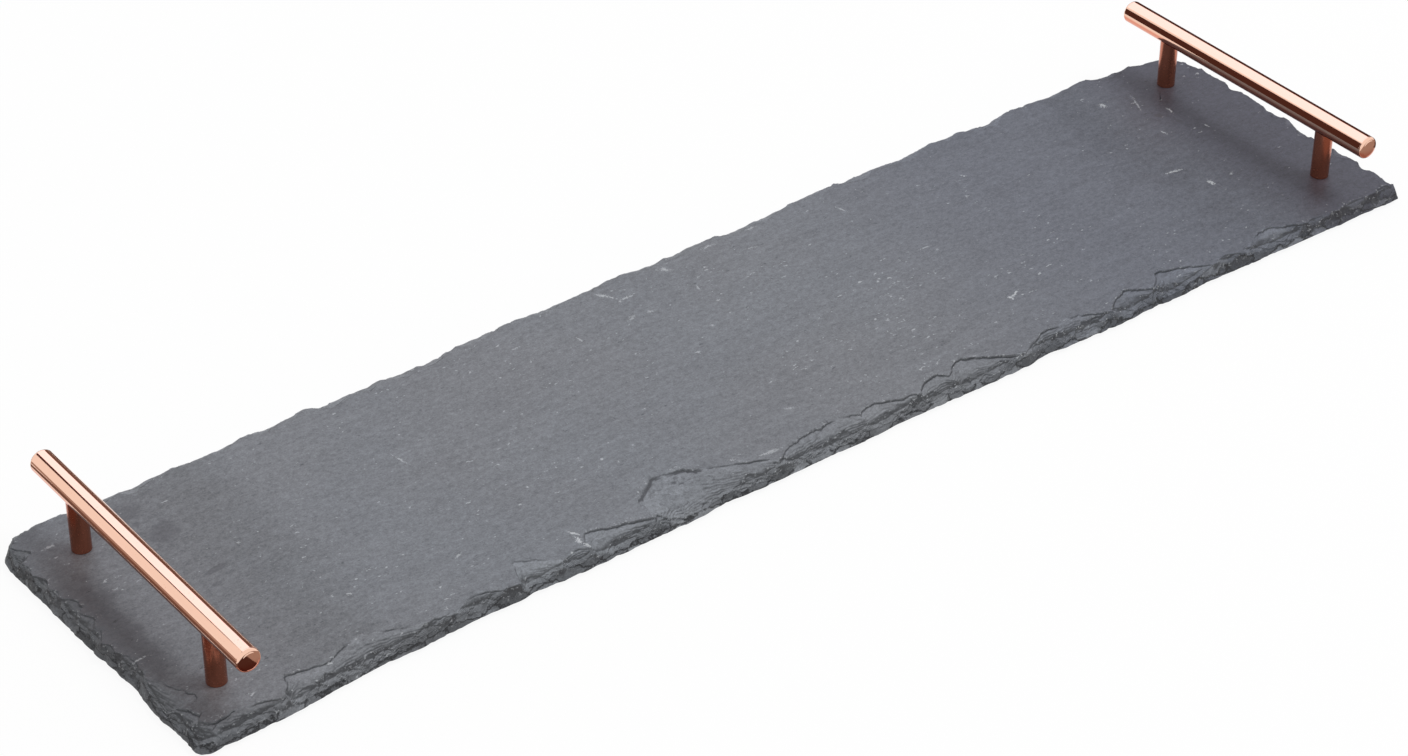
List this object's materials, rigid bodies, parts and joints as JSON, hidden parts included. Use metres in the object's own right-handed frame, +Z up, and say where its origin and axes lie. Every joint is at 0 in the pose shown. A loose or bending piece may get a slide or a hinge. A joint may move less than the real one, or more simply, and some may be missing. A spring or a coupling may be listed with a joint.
{
  "type": "slate serving board",
  "caption": "Long hand-dressed slate serving board that stands on foot pads, with a raised copper bar handle on posts at each end.",
  "frame": {"origin": "on the table under the middle of the board, in the plane that the foot pads rest on", "axes": "+X along the board towards its right-hand handle, +Y across it towards the rear, +Z up"},
  "size_m": [0.606, 0.151, 0.0398],
  "materials": {
    "slate": "matte",
    "copper": "polished",
    "copper_post": "satin",
    "zinc_steel": "satin",
    "foot_pad": "matte"
  },
  "bodies": {
    "root": {"slate_board": "slate", "left_grip_tube": "copper", "right_grip_tube": "copper", "left_front_cap": "copper", "left_rear_cap": "copper", "right_front_cap": "copper", "right_rear_cap": "copper", "left_front_post": "copper_post", "left_rear_post": "copper_post", "right_front_post": "copper_post", "right_rear_post": "copper_post", "left_front_stud": "zinc_steel", "left_rear_stud": "zinc_steel", "right_front_stud": "zinc_steel", "right_rear_stud": "zinc_steel", "left_front_screw": "zinc_steel", "left_rear_screw": "zinc_steel", "right_front_screw": "zinc_steel", "right_rear_screw": "zinc_steel", "left_front_washer": "zinc_steel", "left_rear_washer": "zinc_steel", "right_front_washer": "zinc_steel", "right_rear_washer": "zinc_steel", "left_front_foot": "foot_pad", "left_rear_foot": "foot_pad", "right_front_foot": "foot_pad", "right_rear_foot": "foot_pad"}
  },
  "joints": []
}
